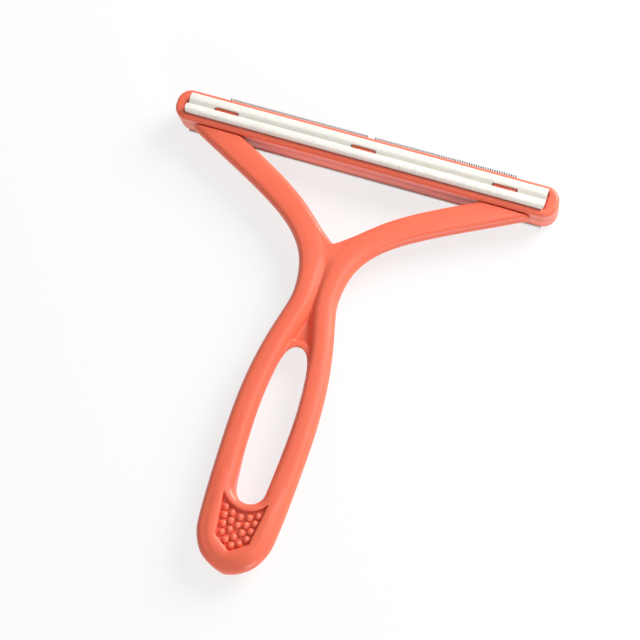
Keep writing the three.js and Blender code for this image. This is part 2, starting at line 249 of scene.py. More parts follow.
def addMesh(name, points, faces, material, fromHead=True, sharpAngle=40):
    rows = np.array(points, float)
    if fromHead:
        rows[:, 1] += headY
    data = bpy.data.meshes.new(name)
    data.from_pydata((rows * mm).tolist(), [], [[int(i) for i in face] for face in faces])
    data.update()
    data.materials.append(material)
    data.shade_smooth()
    if sharpAngle:
        data.set_sharp_from_angle(angle=math.radians(sharpAngle))
    thing = bpy.data.objects.new(name, data)
    scene.collection.objects.link(thing)
    return thing


def dropObject(thing):
    data = thing.data
    bpy.data.objects.remove(thing)
    bpy.data.meshes.remove(data)


def joinPieces(name, things):
    work = bmesh.new()
    for thing in things:
        work.from_mesh(thing.data)
    data = bpy.data.meshes.new(name)
    work.to_mesh(data)
    work.free()
    data.materials.append(things[0].data.materials[0])
    joined = bpy.data.objects.new(name, data)
    scene.collection.objects.link(joined)
    for thing in things:
        dropObject(thing)
    return joined


# skins a list of rings, each with the same number of points, and closes both ends
def loft(rings):
    count = len(rings[0])
    faces = [list(range(count))[::-1]]
    for level in range(len(rings) - 1):
        low, high = level * count, (level + 1) * count
        for j in range(count):
            k = (j + 1) % count
            faces.append([low + j, low + k, high + k, high + j])
    last = (len(rings) - 1) * count
    faces.append([last + j for j in range(count)])
    return np.vstack(rings), faces


def roundedRing(length, width, radius, z, x=0.0, y=0.0, steps=10):
    points = []
    for turn, (sx, sy) in enumerate(((1, 1), (-1, 1), (-1, -1), (1, -1))):
        for step in range(steps):
            angle = (turn + step / (steps - 1)) * math.pi / 2
            points.append((x + sx * (length / 2 - radius) + radius * math.cos(angle),
                           y + sy * (width / 2 - radius) + radius * math.sin(angle), z))
    return np.array(points)


# Geometry Nodes trees

def newTree(name, inputs):
    tree = bpy.data.node_groups.new(name, "GeometryNodeTree")
    for label, kind in inputs:
        tree.interface.new_socket(label, in_out="INPUT", socket_type=kind)
    tree.interface.new_socket("Geometry", in_out="OUTPUT", socket_type="NodeSocketGeometry")
    return tree, tree.nodes.new("NodeGroupInput").outputs, tree.nodes.new("NodeGroupOutput")


# puts a copy of Shape on each point, a little uneven in size, and ends as one mesh with its finish
def endTree(tree, given, result, points):
    shape = addNode(tree, "GeometryNodeObjectInfo", {"Object": given["Shape"]})
    size = addNode(tree, "FunctionNodeRandomValue", {
        "Min": given["Smallest"], "Max": given["Largest"], "Seed": given["Seed"]}, data_type="FLOAT_VECTOR")
    copies = addNode(tree, "GeometryNodeInstanceOnPoints", {
        "Points": points, "Instance": shape.outputs["Geometry"], "Scale": size.outputs["Value"]})
    real = addNode(tree, "GeometryNodeRealizeInstances", {"Geometry": copies.outputs["Instances"]})
    done = addNode(tree, "GeometryNodeSetMaterial", {
        "Geometry": real.outputs["Geometry"], "Material": given["Finish"]})
    tree.links.new(done.outputs["Geometry"], result.inputs["Geometry"])
    return tree


shared = [("Shape", "NodeSocketObject"), ("Finish", "NodeSocketMaterial"), ("Smallest", "NodeSocketVector"),
          ("Largest", "NodeSocketVector"), ("Seed", "NodeSocketInt")]


def makeRowTree():
    tree, given, result = newTree("evenRow", [
        ("Count", "NodeSocketInt"), ("Start", "NodeSocketVector"), ("Step", "NodeSocketVector"), *shared])
    line = addNode(tree, "GeometryNodeMeshLine", {
        "Count": given["Count"], "Start Location": given["Start"], "Offset": given["Step"]}, mode="OFFSET")
    return endTree(tree, given, result, line.outputs["Mesh"])


def makeSpotTree():
    tree, given, result = newTree("onPlaces", [("Places", "NodeSocketGeometry"), *shared])
    return endTree(tree, given, result, given["Places"])


rowTree = makeRowTree()
spotTree = makeSpotTree()
even = {"Smallest": [1.0] * 3, "Largest": [1.0] * 3, "Seed": 0}  # copies all of one size


def runTree(name, tree, values, places=()):
    data = bpy.data.meshes.new(name + "Places")
    data.from_pydata([tuple(place) for place in places], [], [])
    carrier = bpy.data.objects.new(name, data)
    scene.collection.objects.link(carrier)
    modifier = carrier.modifiers.new(name, "NODES")
    modifier.node_group = tree
    for item in tree.interface.items_tree:
        if item.in_out == "INPUT" and item.name in values:
            modifier[item.identifier] = values[item.name]
    shown = carrier.evaluated_get(bpy.context.evaluated_depsgraph_get())
    made = bpy.data.meshes.new_from_object(shown)
    carrier.modifiers.remove(modifier)
    carrier.data = made
    bpy.data.meshes.remove(data)
    return carrier


def rowPlace(x, y, z):
    return Vector((x, y + headY, z)) * mm


def finishPiece(thing, node):
    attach(thing, "root")
    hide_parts(node)
    print("piece", thing.name, "for", node, "with", len(thing.data.polygons), "faces")


# Head: sizes that the grip's base and the holder share
head = {
    "length": 147.3, "near": -6.1, "far": 5.7, "cornerRadius": 5.3,
    "baseBack": 1.6, "seam": 7.5, "front": 13.6, "seamChamfer": 0.16,
}
nearWall = head["near"]


# the head's outline at each (z, inset) level
def headRings(levels):
    width, middle = head["far"] - head["near"], (head["far"] + head["near"]) / 2
    return [roundedRing(head["length"] - 2 * inset, width - 2 * inset, head["cornerRadius"] - inset, z, 0, middle)
            for z, inset in levels]


# Grip: the moulding is worked out as a field, negative inside, and skinned on a fine grid
grip = {
    "top": 12.6, "back": 4.2, "barWidth": 9.2, "topWidth": 6.6, "crown": 0.5, "crownReach": 1.3, "edgeDrop": 2.7,
    "ridgeRound": 0.9, "sideRound": 0.5, "backWidth": 5.2, "backEdge": 1.2, "armSpread": ((-44, 0.0), (-26, 0.5)),
    "innerShoulder": ((-86, 0.0), (-74, 0.8), (-60, 0.8), (-44, 0.0)),
    "innerHalf": ((-130, 4.6), (-116, 4.2), (-100, 3.9), (-84, 3.75), (-74, 4.2), (-66, 4.6)),
    "arm": ((68, -0.6), (27.5, -22.4), (4.12, -27.8), (4.12, -56.5)),
    "upper": ((4.12, -56.5), (4.12, -65.5), (11.37, -76.6), (11.37, -107.5)),
    "lower": ((11.37, -107.5), (11.37, -115.5), (10.87, -138.3), (9.77, -146.1)),
    "turn": ((9.77, -146.1), (9.14, -150.6), (4.67, -156.8), (0, -157.4)),
    "runSteps": {"arm": 60, "upper": 40, "lower": 30, "turn": 16}, "pastEnd": -3.0, "armStart": 0.1,
    "edgeSteps": {"arm": 24, "upper": 12, "lower": 14, "round": 14},
    "crotchY": -36.2, "crotchRunOut": 0.55, "holeTopY": -75.7, "holeTopRunOut": 0.7, "holeEndRunOut": 0.55,
    "webTop": ((-165, 12.4), (-136, 12.4), (-118, 11.0), (-76, 8.9), (-66, 8.8), (-58, 9.6), (-50, 11.0),
               (-42, 12.3), (-36, 12.2)),
    "webBack": ((-165, 0.0), (-137, 0.0), (-118, 5.8), (-100, 7.0), (-80, 7.0), (-70, 6.0), (-58, 5.4),
                (-36, 5.1)),
    "crease": 0.3, "webFillet": 1.8, "webRim": 1.4,
    "blockSpread": 1.0, "blockRise": ((-136, 0.0), (-125, 3.0)), "blockLap": 2, "blockRound": 1.2, "blockBlend": 0.6,
    "rimDrop": 1.0, "rimRun": 1.6, "rimFrom": ((-131, 1.0), (-126, 0.0)), "rimEven": 0.85, "rimEdge": 0.3,
    "noseY": -155.8, "noseTilt": 0.72, "noseRound": 3.0,
    "lipReach": 0.3, "lipRoot": 2, "lipLow": 8.4, "lipHigh": 10.2, "lipBlend": 0.35,
    "pocketDepth": 2.2, "pocketEdge": 0.4, "pocketCorner": 0.4, "pocketArc": (10.1, -127.6), "pocketTopX": 8.4,
    "pocketSide": (6.2, -148.7), "pocketPointY": -152.8,
    "footFlare": 0.5, "footReach": 2.4, "footEnd": 64.9, "footRound": 1.6, "footGap": 0.35, "footLap": 0.7,
    "wallInset": 0.1, "grid": ((-70.25, 70.3), (-164.25, -3.0), (-0.9, 13.6)), "step": 0.5, "stepZ": 0.3,
}


# a size that changes along the tool, from its (y, value) stops
def along(y, stops):
    return np.interp(y, *zip(*stops))


def runPoint(run, t):
    a, b, c, d = (np.array(p, float) for p in run)
    t = np.atleast_1d(t)[:, None]
    return (1 - t) ** 3 * a + 3 * (1 - t) ** 2 * t * b + 3 * (1 - t) * t ** 2 * c + t ** 3 * d


def runHeading(run, t):
    a, b, c, d = (np.array(p, float) for p in run)
    t = np.atleast_1d(t)[:, None]
    way = 3 * (1 - t) ** 2 * (b - a) + 6 * (1 - t) * t * (c - b) + 3 * t ** 2 * (d - c)
    return way / np.linalg.norm(way, axis=1, keepdims=True)


def innerEdge(run, t):
    way, spot = runHeading(run, t), runPoint(run, t)
    half = along(spot[:, 1], grip["innerHalf"])[:, None]
    return spot + np.stack([way[:, 1], -way[:, 0]], 1) * half


# from the bar's inner edge across to the middle line at y, tangent to both
def roundOff(run, t, y):
    start = innerEdge(run, t)[0]
    way = runHeading(run, t)[0]
    bend = np.array([start[0] + way[0] * (y - start[1]) / way[1], y])
    s = np.linspace(0, 1, grip["edgeSteps"]["round"])[:, None]
    return (1 - s) ** 2 * start + 2 * (1 - s) * s * bend + s ** 2 * np.array([0.0, y])


def mirrored(half):
    return np.vstack([half, (half * [-1, 1])[::-1]])


def distanceTo(px, py, points, closed=False):
    best = np.full(px.shape, 1e9)
    ends = np.roll(points, -1, 0) if closed else points[1:]
    for (ax, ay), (bx, by) in zip(points, ends):
        dx, dy = bx - ax, by - ay
        span = dx * dx + dy * dy
        if span < 1e-12:
            continue
        t = np.clip(((px - ax) * dx + (py - ay) * dy) / span, 0, 1)
        best = np.minimum(best, (px - ax - t * dx) ** 2 + (py - ay - t * dy) ** 2)
    return np.sqrt(best)


def signedTo(px, py, points):
    inside = np.zeros(px.shape, bool)
    for (ax, ay), (bx, by) in zip(points, np.roll(points, -1, 0)):
        if ay == by:
            continue
        crosses = (ay > py) != (by > py)
        inside ^= crosses & (px < (bx - ax) * (py - ay) / (by - ay) + ax)
    return distanceTo(px, py, points, True) * np.where(inside, -1, 1)


def softMin(a, b, k):
    h = np.clip(0.5 + 0.5 * (b - a) / k, 0, 1)
    return b * (1 - h) + a * h - k * h * (1 - h)


def softMax(a, b, k):
    return -softMin(-a, -b, k)


def holeEnd():
    edge = innerEdge(grip["lower"], grip["holeEndRunOut"])[0]
    return edge[0], edge[1]


def planOutlines():
    radius, y = holeEnd()
    steps = grip["edgeSteps"]
    arc = np.linspace(0, -math.pi / 2, steps["round"])
    hole = np.vstack([
        roundOff(grip["upper"], grip["holeTopRunOut"], grip["holeTopY"])[::-1],
        innerEdge(grip["upper"], np.linspace(grip["holeTopRunOut"], 1, steps["upper"])),
        innerEdge(grip["lower"], np.linspace(0, grip["holeEndRunOut"], steps["lower"])),
        np.stack([radius * np.cos(arc), y + radius * np.sin(arc)], 1)])
    gap = np.vstack([
        [(0, 0), (innerEdge(grip["arm"], grip["armStart"])[0][0], 0)],
        innerEdge(grip["arm"], np.linspace(grip["armStart"], grip["crotchRunOut"], steps["arm"])),
        roundOff(grip["arm"], grip["crotchRunOut"], grip["crotchY"])])
    reach, pocketY = grip["pocketArc"]
    arc = np.linspace(-math.pi / 2, -math.acos(grip["pocketTopX"] / reach), steps["round"])
    pocket = np.vstack([
        np.stack([reach * np.cos(arc), pocketY + reach * np.sin(arc)], 1),
        [grip["pocketSide"], (0, grip["pocketPointY"])]])
    return mirrored(hole), mirrored(gap), mirrored(pocket)


def gripField():
    step, stepZ = grip["step"], grip["stepZ"]
    xs, ys, zs = (np.arange(*span, size) for span, size in zip(grip["grid"], (step, step, stepZ)))
    px, py = np.meshgrid(xs, ys, indexing="ij")
    path = np.vstack([runPoint(grip[name], np.linspace(0, 1, n)) for name, n in grip["runSteps"].items()])
    fromPath = distanceTo(px, py, path)
    order = np.argsort(path[:, 1])
    reachX = np.interp(py, path[order, 1], path[order, 0], left=grip["pastEnd"])
    hole, gap, pocket = (signedTo(px, py, outline) for outline in planOutlines())
    z = zs[None, None, :]
    crest, low = grip["top"], grip["back"]

    def tall(plan):
        return plan[:, :, None]

    # a crowned top with soft ridges and steep shoulders, over a back that draws in
    def bar():
        d = tall(np.maximum(fromPath - along(py, grip["armSpread"]), 0))
        inner = px < reachX
        more = tall(np.where(inner, along(py, grip["innerShoulder"]), 0))
        edge = tall(np.where(inner, along(py, grip["innerHalf"]), grip["barWidth"] / 2))
        drop, flat = grip["edgeDrop"], grip["topWidth"] / 2 - more
        run = edge - flat
        top = z - crest + grip["crown"] * np.minimum(2 * d / grip["topWidth"], grip["crownReach"]) ** 2
        shoulder = ((d - flat) * drop + (z - crest) * run) / np.hypot(drop, run)
        lean = (edge - grip["backWidth"] / 2) / (crest - drop - low)
        side = (d - edge + lean * (crest - drop - z)) / np.hypot(1, lean)
        body = softMax(softMax(top, shoulder, grip["ridgeRound"]), side, grip["sideRound"])
        return softMax(body, low - z, grip["backEdge"])

    rightBar = bar()
    body = softMin(rightBar, rightBar[::-1], grip["crease"])
    # the web between the bars, and the block that the end lies on
    between = tall(np.maximum(np.maximum(-hole, -gap), np.abs(px) - reachX))
    top, back = tall(along(py, grip["webTop"])), tall(along(py, grip["webBack"]))
    web = softMax(between, np.maximum(z - top, back - z), grip["webRim"])
    body = softMin(body, web, grip["webFillet"])
    rise = along(py, grip["blockRise"])
    block = np.maximum(rise - hole, np.abs(px) - reachX - grip["blockSpread"])
    block = tall(np.maximum(block, py - holeEnd()[1]))
    block = softMax(block, np.maximum(z - low - grip["blockLap"], -z), grip["blockRound"])
    body = softMin(body, block, grip["blockBlend"])
    # the rim below the hole has a small slope too, and the end falls away to a blunt nose
    fall = tall(grip["rimDrop"] * along(py, grip["rimFrom"]))
    rim = (z - crest + fall * tall(1 - hole / grip["rimRun"])) * grip["rimEven"]
    body = softMax(body, rim, grip["rimEdge"])
    tilt = grip["noseTilt"]
    nose = (z - crest) * math.cos(tilt) + tall((grip["noseY"] - py) * math.sin(tilt))
    body = softMax(body, nose, grip["noseRound"])
    # a low lip runs round the hole at mid depth
    middle = (grip["lipLow"] + grip["lipHigh"]) / 2
    lip = np.maximum(tall(np.maximum(-(hole + grip["lipReach"]), hole - grip["lipRoot"])),
                     np.abs(z - middle) - (grip["lipHigh"] - middle))
    body = softMin(body, lip, grip["lipBlend"])
    hollow = softMax(tall(pocket), crest - grip["pocketDepth"] - z, grip["pocketCorner"])
    body = softMax(body, -hollow, grip["pocketEdge"])
    # the arms' ends are rounded off and flare into the head's near wall
    pastFoot = tall(np.abs(px) - grip["footEnd"])
    body = softMax(body, pastFoot, grip["footRound"])
    wall = np.maximum(np.maximum(tall(nearWall + grip["wallInset"] - py), pastFoot),
                      np.maximum(head["baseBack"] - z, z - head["front"]))
    body = np.maximum(softMin(body, wall, grip["footFlare"]), body - grip["footReach"])
    body = np.maximum(body, tall(py - (nearWall + grip["footLap"])))
    above = np.maximum(tall(nearWall - grip["footGap"] - py), head["seam"] - z)
    body = np.maximum(np.maximum(body, -above), -z)
    return body, np.array([xs[0], ys[0], zs[0]]), np.array([step, step, stepZ])


# one point in each cell that the surface passes through, joined across the cells' shared edges
def skinField(field, origin, steps, rounds=3, furthest=0.35):
    inside = field < 0
    shape = np.array(field.shape) - 1
    corners = [(i, j, k) for i in (0, 1) for j in (0, 1) for k in (0, 1)]

    def corner(array, c):
        return array[c[0]:c[0] + shape[0], c[1]:c[1] + shape[1], c[2]:c[2] + shape[2]]

    total = sum(corner(inside, c).astype(np.int8) for c in corners)
    cells = np.argwhere((total > 0) & (total < 8))
    sums, hits = np.zeros((len(cells), 3)), np.zeros(len(cells))
    for a in corners:
        for axis in range(3):
            if a[axis] == 1:
                continue
            b = tuple(v + (n == axis) for n, v in enumerate(a))
            va = field[tuple((cells + a).T)]
            vb = field[tuple((cells + b).T)]
            cut = (va < 0) != (vb < 0)
            t = np.where(cut, va / np.where(cut, va - vb, 1), 0)
            sums[cut] += (np.array(a) + t[:, None] * (np.array(b) - np.array(a)))[cut]
            hits += cut
    points = cells + sums / hits[:, None]
    number = np.full(shape, -1)
    number[tuple(cells.T)] = np.arange(len(cells))
    faces = []
    for axis in range(3):
        u, v = (axis + 1) % 3, (axis + 2) % 3
        low = [slice(None)] * 3
        high = [slice(None)] * 3
        low[axis], high[axis] = slice(0, -1), slice(1, None)
        change = inside[tuple(low)].astype(np.int8) - inside[tuple(high)].astype(np.int8)
        at = np.argwhere(change != 0)
        at = at[(at[:, u] > 0) & (at[:, v] > 0) & (at[:, u] < shape[u]) & (at[:, v] < shape[v])]
        sign = change[tuple(at.T)]
        ring = []
        for du, dv in ((-1, -1), (0, -1), (0, 0), (-1, 0)):
            cell = at.copy()
            cell[:, u] += du
            cell[:, v] += dv
            ring.append(number[tuple(cell.T)])
        quads = np.stack(ring, 1)
        quads[sign < 0] = quads[sign < 0][:, ::-1]
        faces.append(quads)
    # ease each point on to the surface along the field's slope
    slopes = np.gradient(field)
    for _ in range(rounds):
        near = np.clip(np.floor(points).astype(int), 0, shape - 1)
        part = points - near
        value, slope = np.zeros(len(points)), np.zeros((len(points), 3))
        for c in corners:
            weight = np.prod(np.where(np.array(c) == 1, part, 1 - part), axis=1)
            spot = tuple((near + c).T)
            value += weight * field[spot]
            for n in range(3):
                slope[:, n] += weight * slopes[n][spot]
        move = (value / np.maximum((slope ** 2).sum(1), 1e-6))[:, None] * slope
        points = points - np.clip(move, -furthest, furthest)
    return origin + points * steps, np.vstack(faces)


bumps = {
    "radius": 1.42, "sink": -0.2, "smallest": 0.94, "largest": 1.04, "seed": 4,
    "middle": ((0, -140.2), (0, -143.2), (0, -147.5), (0, -150.6)),
    "beside": ((3.2, -139.5), (2.85, -142.35), (2.2, -145.3), (2.55, -149.2),
               (6.05, -138.1), (5.7, -141.0), (5.2, -144.0), (4.6, -147.0)),
}


def bumpPlaces():
    z = grip["top"] - grip["pocketDepth"] - bumps["sink"]
    places = [rowPlace(x, y, z) for x, y in bumps["middle"]]
    for side in (-1, 1):
        places += [rowPlace(side * x, y, z) for x, y in bumps["beside"]]
    return places


def ball(radius, rounds=16, levels=9):
    points, faces = [(0, 0, -radius)], []
    for level in range(1, levels):
        lift = -math.pi / 2 + math.pi * level / levels
        for j in range(rounds):
            turn = 2 * math.pi * j / rounds
            points.append((radius * math.cos(lift) * math.cos(turn), radius * math.cos(lift) * math.sin(turn),
                           radius * math.sin(lift)))
    points.append((0, 0, radius))
    for j in range(rounds):
        k = (j + 1) % rounds
        faces.append([0, 1 + k, 1 + j])
        for level in range(levels - 2):
            low, high = 1 + level * rounds, 1 + (level + 1) * rounds
            faces.append([low + j, low + k, high + k, high + j])
        last = 1 + (levels - 2) * rounds
        faces.append([last + j, last + k, len(points) - 1])
    return points, faces


def makeGrip():
    points, faces = skinField(*gripField())
    moulding = addMesh("gripMoulding", points, faces, gripCoral, sharpAngle=None)
    print("grip skinned with", len(faces), "faces")
    chamfer = head["seamChamfer"]
    levels = ((head["baseBack"], chamfer), (head["baseBack"] + chamfer, 0),
              (head["seam"] - chamfer, 0), (head["seam"], chamfer))
    base = addMesh("headBase", *loft(headRings(levels)), gripCoral)
    shape = addMesh("bump", *ball(bumps["radius"]), gripCoral, fromHead=False, sharpAngle=None)
    domes = runTree("bumpField", spotTree, {
        "Shape": shape, "Finish": gripCoral, "Smallest": [bumps["smallest"]] * 3,
        "Largest": [bumps["largest"]] * 3, "Seed": bumps["seed"]}, bumpPlaces())
    dropObject(shape)
    finishPiece(joinPieces("gripBody", [moulding, base, domes]), "grip_body")


makeGrip()


# Strip holder: the front layer of the head, with its pocket, tabs and staked pegs
holder = {
    "edgeRadius": 1.2, "edgeSteps": 7, "edgeStart": 0.05, "lift": 0.02,
    "pocketLength": 139.2, "pocketNear": -3.85, "pocketFar": 4.25, "pocketRadius": 1.6, "pocketFloor": 11.8,
    "pocketLip": 0.2, "pocketLipBend": 0.06,
    "tabPitch": 53.6, "tabY": 0.4, "tabLength": 8.9, "tabWidth": 1.2, "tabTop": 14.15, "tabLip": 0.15,
    "tabBend": 0.3, "tabRoot": 0.5,
    "pegX": (18, 45), "pegY": 3, "pegRadius": 1.0, "pegLift": 0.01, "pegLap": 0.3,
    "stakeRadius": 1.9, "stakeTop": 1.0, "stakeDrop": 0.6,
    "stakeShape": ((0.25, 1.0), (0.6, 0.93), (0.85, 0.65), (1.0, 0.15), (0.97, 0.0)),
    "stakeSmallest": [0.97, 0.97, 1.0], "stakeLargest": [1.03, 1.03, 1.0], "stakeSeed": 7,
}


def ringOfRadius(radius, z, rounds=20):
    turn = np.linspace(0, 2 * math.pi, rounds, endpoint=False)
    return np.stack([radius * np.cos(turn), radius * np.sin(turn), np.full(rounds, z)], 1)


def makeHolder():
    chamfer, edge, front = head["seamChamfer"], holder["edgeRadius"], head["front"]
    bottom = head["seam"] + holder["lift"]
    levels = [(bottom, chamfer), (bottom + chamfer, 0), (front - edge - holder["edgeStart"], 0)]
    for step in range(holder["edgeSteps"] + 1):
        angle = step / holder["edgeSteps"] * math.pi / 2
        levels.append((front - edge + edge * math.sin(angle), edge - edge * math.cos(angle)))
    rings = headRings(levels)
    lip, lipBend = holder["pocketLip"], holder["pocketLipBend"]
    near, far = holder["pocketNear"], holder["pocketFar"]
    for grow, z in ((lip, front), (lipBend, front - lipBend), (0, front - lip), (0, holder["pocketFloor"])):
        rings.append(roundedRing(holder["pocketLength"] + 2 * grow, far - near + 2 * grow,
                                 holder["pocketRadius"] + grow, z, 0, (far + near) / 2))
    shell = addMesh("holderShell", *loft(rings), holderCoral, sharpAngle=50)
    lip, top = holder["tabLip"], holder["tabTop"]
    tabLevels = ((holder["pocketFloor"] - holder["tabRoot"], 0), (top - lip, 0),
                 (top - lip * holder["tabBend"], lip * holder["tabBend"]), (top, lip))
    tab = addMesh("tab", *loft([
        roundedRing(holder["tabLength"] - 2 * inset, holder["tabWidth"] - 2 * inset,
                    holder["tabWidth"] / 2 - inset, z) for z, inset in tabLevels]), holderCoral, fromHead=False)
    tabs = runTree("tabRow", rowTree, {
        **even, "Finish": holderCoral, "Shape": tab, "Count": 3,
        "Start": rowPlace(-holder["tabPitch"], holder["tabY"], 0), "Step": [holder["tabPitch"] * mm, 0, 0]})
    top, drop, wide = holder["stakeTop"], holder["stakeDrop"], holder["stakeRadius"]
    stake = addMesh("stake", *loft([
        *(ringOfRadius(wide * share, top - drop * down) for share, down in holder["stakeShape"]),
        ringOfRadius(holder["pegRadius"], top + holder["pegLift"]),
        ringOfRadius(holder["pegRadius"], head["seam"] + holder["pegLap"])]), holderCoral, fromHead=False)
    places = [rowPlace(sideX * x, sideY * holder["pegY"], 0)
              for x in holder["pegX"] for sideX in (-1, 1) for sideY in (-1, 1)]
    stakes = runTree("stakeRow", spotTree, {
        "Finish": holderCoral, "Shape": stake, "Smallest": holder["stakeSmallest"],
        "Largest": holder["stakeLargest"], "Seed": holder["stakeSeed"]}, places)
    dropObject(tab)
    dropObject(stake)
    finishPiece(joinPieces("stripHolder", [shell, tabs, stakes]), "strip_holder")


makeHolder()


# Soft strip: two lips that fall off towards the handle, slots for the tabs and fine ribs across the lips
strip = {
    "length": 138.0, "far": 3.95, "near": -3.55, "cornerRadius": 0.5,
    "floor": 11.9, "crest": 15.6, "crestRound": 0.5, "farCrestEnd": 1.8, "farBend": (0.8, 0.2),
    "nearCrestStart": -0.75, "nearCrestEnd": -2.2, "grooveY": -0.05, "grooveDepth": 1.35,
    "grooveWidth": 0.2, "nearRise": 0.35, "nearBend": 0.05, "nearFall": 1.9,
    "slotPitch": 53.6, "slotY": 0.4, "slotLength": 9.7, "slotWidth": 1.5, "slotPast": 1,
    "endBulge": (0.45, 0.1), "bulgeReach": 1.5, "bulgeRise": 0.8, "endLean": 1.0,
    "endRing": 0.985, "lastRing": 0.94, "rings": 20, "sharpAngle": 38,
    "ribPitch": 0.78, "ribWidth": 0.45, "ribHeight": 0.11, "ribFoot": 0.05, "ribRoot": 0.2, "ribSkip": 3,
    "ribClear": 0.1, "ribSpare": 2, "ribSmallest": [0.8, 0.998, 0.998], "ribLargest": [1.2, 1.002, 1.002],
    "ribSeed": 11,
}


def bend(a, b, c, count=7):
    t = np.linspace(0, 1, count)[:, None]
    return (1 - t) ** 2 * np.array(a) + 2 * (1 - t) * t * np.array(b) + t ** 2 * np.array(c)


# each lip from its far side over the crest and down, as (y, z)
def lipCurves():
    far, near, crest, soft = strip["far"], strip["near"], strip["crest"], strip["crestRound"]
    groove, low, start = strip["grooveY"], strip["crest"] - strip["grooveDepth"], strip["nearCrestStart"]
    reach, dip = strip["farBend"]
    farLip = np.vstack([
        bend((far, crest - soft), (far, crest), (far - soft, crest)),
        bend((strip["farCrestEnd"], crest), (groove + reach, crest - dip), (groove, low))])
    nearLip = np.vstack([
        bend((groove - strip["grooveWidth"], low), (start + strip["nearRise"], crest), (start, crest)),
        bend((strip["nearCrestEnd"], crest), (near, crest - strip["nearBend"]), (near, crest - strip["nearFall"]))])
    return farLip, nearLip


def stripSection():
    return np.vstack([[(strip["far"], strip["floor"])], *lipCurves(), [(strip["near"], strip["floor"])]])


def stripRings():
    section = stripSection()
    y, z = section[:, 0], section[:, 1]
    half, corner = (strip["far"] - strip["near"]) / 2, strip["cornerRadius"]
    past = np.maximum(np.abs(y - strip["far"] + half) - (half - corner), 0)
    cut = corner - np.sqrt(np.maximum(corner ** 2 - past ** 2, 0))
    bulge = sum(np.maximum(1 - ((y - middle) / strip["bulgeReach"]) ** 2, 0) for middle in (
        (strip["far"] + strip["farCrestEnd"]) / 2, (strip["nearCrestStart"] + strip["nearCrestEnd"]) / 2))
    bulge *= np.clip((z - head["front"]) / strip["bulgeRise"], 0, 1)
    end, last = strip["endRing"], strip["lastRing"]
    rings = []
    for share in np.concatenate([[-1, -end], np.linspace(-last, last, strip["rings"]), [end, 1]]):
        grow = strip["endBulge"][0 if share < 0 else 1] * bulge if abs(share) == 1 else 0
        lean = strip["endLean"] * (y - strip["near"]) / (strip["far"] - strip["near"]) if share <= -end else 0
        rings.append(np.stack([share * (strip["length"] / 2 - cut + grow) + lean, y, z], 1))
    return rings


def ribShape(curve):
    way = np.gradient(curve, axis=0)
    out = np.stack([way[:, 1], -way[:, 0]], 1) / np.linalg.norm(way, axis=1, keepdims=True)
    half = strip["ribWidth"] / 2
    corners = ((-half, -strip["ribFoot"]), (0, -strip["ribRoot"]), (half, -strip["ribFoot"]), (0, strip["ribHeight"]))
    return loft([np.array([(x, y + lift * outY, z + lift * outZ) for x, lift in corners])
                 for (y, z), (outY, outZ) in zip(curve, out)])


def outward(thing):
    work = bmesh.new()
    work.from_mesh(thing.data)
    bmesh.ops.recalc_face_normals(work, faces=work.faces)
    work.to_mesh(thing.data)
    work.free()
    return thing


def makeStrip():
    sweep = outward(addMesh("stripSweep", *loft(stripRings()), softWhite, sharpAngle=None))
    levels = (strip["floor"] - strip["slotPast"], strip["crest"] + strip["slotPast"])
    slot = addMesh("slotCut", *loft([
        roundedRing(strip["slotLength"], strip["slotWidth"], strip["slotWidth"] / 2, z) for z in levels]),
        softWhite, fromHead=False)
    cuts = runTree("slotRow", rowTree, {
        **even, "Finish": softWhite, "Shape": slot, "Count": 3,
        "Start": rowPlace(-strip["slotPitch"], strip["slotY"], 0), "Step": [strip["slotPitch"] * mm, 0, 0]})
    modifier = sweep.modifiers.new("slots", "BOOLEAN")
    modifier.operation = "DIFFERENCE"
    modifier.solver = "EXACT"
    modifier.object = cuts
    shown = sweep.evaluated_get(bpy.context.evaluated_depsgraph_get())
    made = bpy.data.meshes.new_from_object(shown)
    sweep.modifiers.remove(modifier)
    sweep.data = made
    made.shade_smooth()
    made.set_sharp_from_angle(angle=math.radians(strip["sharpAngle"]))
    parts = [sweep]
    count = int((strip["length"] - strip["ribSpare"]) / strip["ribPitch"])
    start = -strip["ribPitch"] * (count - 1) / 2
    for turn, curve in enumerate(lipCurves()):
        clear = np.abs(curve[:, 0] - strip["slotY"]) > strip["slotWidth"] / 2 + strip["ribClear"]
        shape = ribShape(curve[clear][strip["ribSkip"]:])
        rib = outward(addMesh("rib", *shape, softWhite, fromHead=False, sharpAngle=70))
        parts.append(runTree("lipRibs", rowTree, {
            "Finish": softWhite, "Smallest": strip["ribSmallest"], "Largest": strip["ribLargest"],
            "Seed": strip["ribSeed"] + turn, "Shape": rib, "Count": count, "Start": rowPlace(start, 0, 0),
            "Step": [strip["ribPitch"] * mm, 0, 0]}))
        dropObject(rib)
    dropObject(slot)
    dropObject(cuts)
    finishPiece(joinPieces("scraperStrip", parts), "scraper_strip")


makeStrip()


# Edge blades and comb: punched sheet with a row of teeth
tooth = {"foot": 0.15, "blunt": 0.97, "inset": 0.02}
blade = {
    "thickness": 0.4, "length": 54.75, "middleGap": 2.4, "low": 7.0, "inner": 0.9, "tip": 8.32,
    "toothPitch": 0.883, "toothDepth": 1.0, "toothRoot": 0.3, "toothTip": 0.18,
    "smallest": [0.97, 0.95, 1.0], "seed": 21,
}
comb = {
    "length": 138.0, "near": -6.6, "far": 5.5, "seat": 1.5, "sheet": 0.4, "bend": 0.44, "bendSteps": 5,
    "rings": 9, "toothPitch": 1.0, "toothDepth": 1.0, "toothRoot": 0.47, "toothTip": 0.09,
    "smallest": [0.97, 1.0, 0.95], "seed": 31,
}


